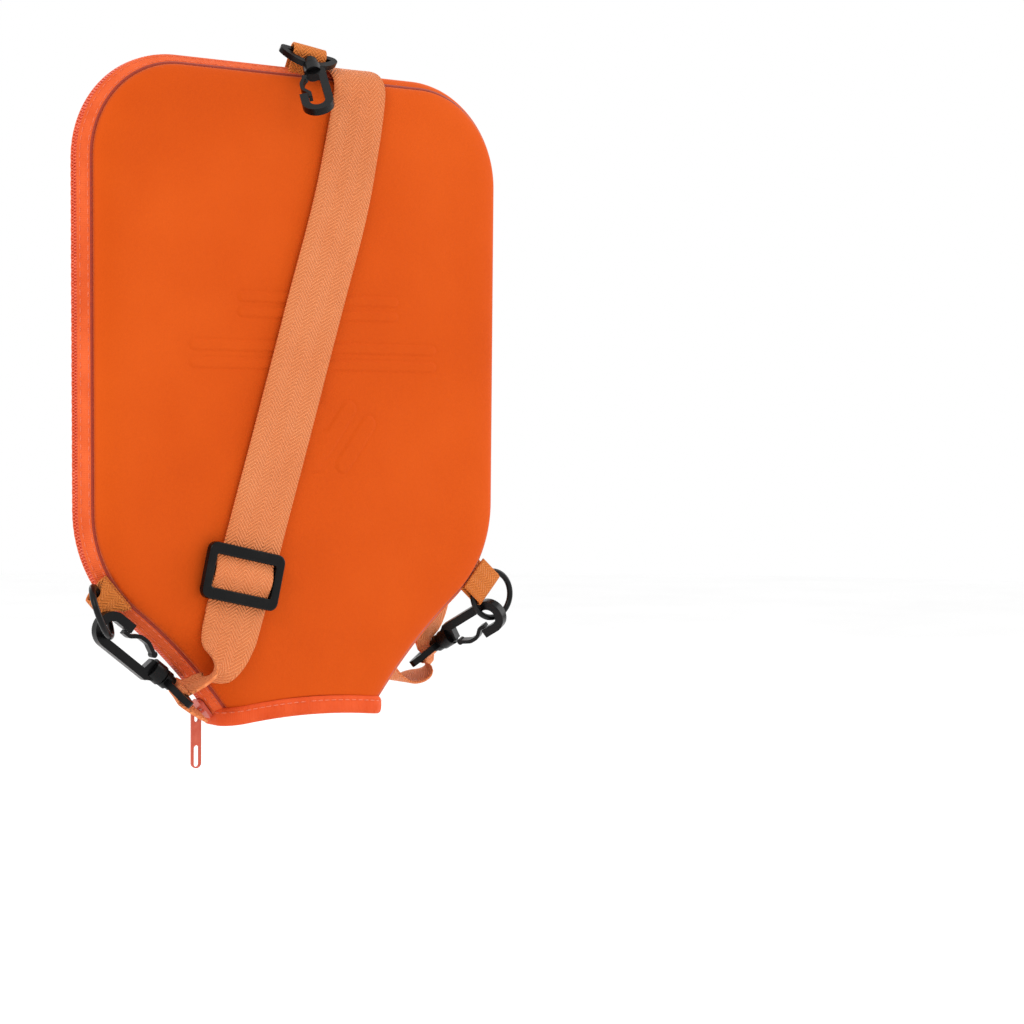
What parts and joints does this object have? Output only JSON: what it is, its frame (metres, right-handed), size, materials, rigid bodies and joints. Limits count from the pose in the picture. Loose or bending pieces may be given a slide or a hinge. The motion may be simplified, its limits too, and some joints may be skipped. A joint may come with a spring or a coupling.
{
  "type": "padded paddle case with sling strap",
  "caption": "Padded neoprene paddle case with a part-way zip, slip pocket, sling strap with adjuster, ring tabs and swivel snap hooks.",
  "frame": {"origin": "centre of the neck mouth", "axes": "+Z from the neck mouth to the closed end, +X right seen from the front, front faces -Y"},
  "size_m": [0.2412, 0.0899, 0.3343],
  "materials": {
    "neoprene": "soft knit face",
    "trim_cloth": "fine ribbed tape",
    "zip_coil": "fine coil",
    "strap_webbing": "herringbone webbing",
    "tab_webbing": "herringbone webbing",
    "slider_metal": "satin lacquer",
    "pull_lacquer": "satin lacquer",
    "ring_metal": "satin black",
    "hook_plastic": "semi gloss",
    "gate_plastic": "satin",
    "glide_plastic": "satin"
  },
  "bodies": {
    "case": {"front_panel": "neoprene", "back_panel": "neoprene", "zip_tape_front": "trim_cloth", "zip_tape_back": "trim_cloth", "zip_coil_front": "zip_coil", "zip_coil_back": "zip_coil", "plain_gusset": "neoprene", "seam_tape_front": "trim_cloth", "seam_tape_back": "trim_cloth", "neck_binding_front": "trim_cloth", "neck_binding_back": "trim_cloth", "pocket_panel": "neoprene", "pocket_binding": "trim_cloth", "strap_front": "strap_webbing", "strap_doubled_layer": "strap_webbing", "strap_over_end": "strap_webbing", "strap_back": "strap_webbing", "strap_left_loop": "strap_webbing", "strap_right_loop": "strap_webbing", "tab_left": "tab_webbing", "tab_right": "tab_webbing", "tab_top": "tab_webbing", "hook_left_eye": "hook_plastic", "hook_right_eye": "hook_plastic"},
    "zip_slider": {"zip_slider": "slider_metal"},
    "zip_pull": {"zip_pull": "pull_lacquer"},
    "ring_left": {"ring_left": "ring_metal"},
    "ring_right": {"ring_right": "ring_metal"},
    "hook_left": {"hook_left_body": "hook_plastic"},
    "hook_left_gate": {"hook_left_gate": "gate_plastic"},
    "hook_right": {"hook_right_body": "hook_plastic"},
    "hook_right_gate": {"hook_right_gate": "gate_plastic"},
    "hook_top_eye": {"hook_top_eye": "hook_plastic"},
    "hook_top": {"hook_top_body": "hook_plastic"},
    "hook_top_gate": {"hook_top_gate": "gate_plastic"},
    "adjuster": {"tri_glide": "glide_plastic", "strap_at_glide": "strap_webbing"}
  },
  "joints": [
    {"name": "zip_travel", "type": "slide", "parent": "case", "child": "zip_slider", "axis": [-0.6167, 0, 0.7872], "range_m": [0, 0.006]},
    {"name": "pull_swing", "type": "hinge", "parent": "zip_slider", "child": "zip_pull", "pos_m": [-0.05266, 0, 0.00593], "axis": [0, 1, 0], "range_deg": [-28, 90]},
    {"name": "ring_left_turn", "type": "hinge", "parent": "case", "child": "ring_left", "pos_m": [-0.108, -0.0136, 0.0563], "axis": [0.7645, -0.5496, 0.3368], "continuous": true},
    {"name": "ring_right_turn", "type": "hinge", "parent": "case", "child": "ring_right", "pos_m": [0.1114, -0.0075, 0.0549], "axis": [0, 1, 0], "continuous": true},
    {"name": "hook_left_swivel", "type": "hinge", "parent": "case", "child": "hook_left", "pos_m": [-0.0659, -0.011, 0.0174], "axis": [-0.7901, 0, 0.613], "range_deg": [-30, 0]},
    {"name": "hook_left_gate_turn", "type": "hinge", "parent": "hook_left", "child": "hook_left_gate", "pos_m": [-0.0812, -0.011, 0.03585], "axis": [0, -1, 0], "range_deg": [0, 4], "stiffness_Nm_per_rad": 0.02, "springref_deg": -5.73},
    {"name": "hook_right_swivel", "type": "hinge", "parent": "case", "child": "hook_right", "pos_m": [0.1, 0.0335, 0.0238], "axis": [0.1904, -0.864, 0.4661], "range_deg": [-30, 0]},
    {"name": "hook_right_gate_turn", "type": "hinge", "parent": "hook_right", "child": "hook_right_gate", "pos_m": [0.10708, 0.01161, 0.03054], "axis": [-0.8423, -0.3877, -0.3745], "range_deg": [0, 13], "stiffness_Nm_per_rad": 0.02, "springref_deg": -5.73},
    {"name": "hook_top_swing", "type": "hinge", "parent": "case", "child": "hook_top_eye", "pos_m": [0.00103, -0.00958, 0.31031], "axis": [0.9628, -0.1992, -0.1824], "range_deg": [-110, 0]},
    {"name": "hook_top_swivel", "type": "hinge", "parent": "hook_top_eye", "child": "hook_top", "pos_m": [0.0014, -0.0086, 0.3112], "axis": [-0.2701, -0.7102, -0.6502], "range_deg": [-90, 90]},
    {"name": "hook_top_gate_turn", "type": "hinge", "parent": "hook_top", "child": "hook_top_gate", "pos_m": [-0.00771, -0.02055, 0.29709], "axis": [-0.5034, -0.4715, 0.7241], "range_deg": [0, 13], "stiffness_Nm_per_rad": 0.02, "springref_deg": -5.73},
    {"name": "adjuster_slide", "type": "slide", "parent": "case", "child": "adjuster", "axis": [0.2897, 0, 0.9571], "range_m": [-0.008, 0.14]}
  ]
}
